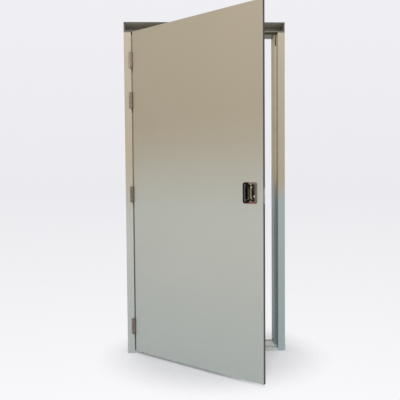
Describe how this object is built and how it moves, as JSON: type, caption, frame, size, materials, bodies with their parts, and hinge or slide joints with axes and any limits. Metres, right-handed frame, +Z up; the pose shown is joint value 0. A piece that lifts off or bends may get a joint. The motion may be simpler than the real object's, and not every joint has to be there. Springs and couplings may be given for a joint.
{
  "type": "container door",
  "caption": "Flush steel personnel door for a container, part open on knuckle hinges in its folded steel frame, with a recessed latch dish.",
  "frame": {"origin": "middle of the sill's underside, at half the frame's width and half its depth", "axes": "+X to the right seen from outside, +Y into the container, +Z up"},
  "size_m": [1.021, 0.6792, 2.111],
  "materials": {
    "frame_paint": "satin light stone-grey paint",
    "leaf_paint": "satin light stone-grey paint",
    "hinge_steel": "dull plated steel",
    "primed_steel": "grey primer",
    "polished_stainless": "polished stainless steel",
    "plated_steel": "zinc plated",
    "chromed_lock": "chromed",
    "black_rubber": "matte",
    "foam_core": "rigid foam"
  },
  "bodies": {
    "frame": {"hinge_jamb": "frame_paint", "strike_jamb": "frame_paint", "lintel_channel": "frame_paint", "lintel_end_left": "frame_paint", "lintel_end_right": "frame_paint", "head_stop": "frame_paint", "sill": "frame_paint", "hinge_side_seal": "black_rubber", "strike_side_seal": "black_rubber", "head_seal": "black_rubber", "sill_seal": "black_rubber", "strike_plate": "plated_steel", "strike_box": "primed_steel", "strike_screws": "plated_steel", "frame_wing_screws": "plated_steel", "hinge_1_frame_wing": "hinge_steel", "hinge_1_pin": "hinge_steel", "hinge_2_frame_wing": "hinge_steel", "hinge_2_pin": "hinge_steel", "hinge_3_frame_wing": "hinge_steel", "hinge_3_pin": "hinge_steel", "hinge_4_frame_wing": "hinge_steel", "hinge_4_pin": "hinge_steel"},
    "leaf": {"barrel_nut": "plated_steel", "bolt_guide": "primed_steel", "bottom_rail": "primed_steel", "core_lower": "foam_core", "core_middle": "foam_core", "core_upper": "foam_core", "dish_gasket": "black_rubber", "dish_nuts": "plated_steel", "door_wing_screws": "plated_steel", "face_plate_screws": "plated_steel", "front_pan": "leaf_paint", "handle_pin": "polished_stainless", "hinge_1_door_wing": "hinge_steel", "hinge_2_door_wing": "hinge_steel", "hinge_3_door_wing": "hinge_steel", "hinge_4_door_wing": "hinge_steel", "hinge_backing_bar": "primed_steel", "hinge_stile": "primed_steel", "latch_dish": "polished_stainless", "latch_stile": "primed_steel", "lock_barrel": "chromed_lock", "lock_face_plate": "plated_steel", "lower_lock_rail": "primed_steel", "rear_tray": "leaf_paint", "top_rail": "primed_steel", "upper_lock_rail": "primed_steel"},
    "handle": {"pull_handle": "polished_stainless"},
    "bolt": {"dead_bolt": "plated_steel"},
    "plug": {"lock_plug": "chromed_lock", "lock_cam": "plated_steel", "drive_pin": "plated_steel"}
  },
  "joints": [
    {"name": "leaf_swing", "type": "hinge", "parent": "frame", "child": "leaf", "pos_m": [-0.4645, -0.067, 1.0265], "axis": [0, 0, -1], "range_deg": [-37.1, 132.9]},
    {"name": "handle_pull", "type": "hinge", "parent": "leaf", "child": "handle", "pos_m": [0.22202, -0.56176, 1.0085], "axis": [0.7976, -0.6032, 0], "range_deg": [0, 60], "stiffness_Nm_per_rad": 0.3, "springref_deg": -17.19},
    {"name": "key_turn", "type": "hinge", "parent": "leaf", "child": "plug", "pos_m": [0.23859, -0.56803, 1.021], "axis": [-0.6032, -0.7976, 0], "range_deg": [0, 90]},
    {"name": "bolt_slide", "type": "slide", "parent": "leaf", "child": "bolt", "axis": [0.7976, -0.6032, 0], "range_m": [0, 0.014]}
  ],
  "couplings": [
    {"joint": "key_turn", "follows": "bolt_slide", "rad_per_m": 112.19}
  ]
}
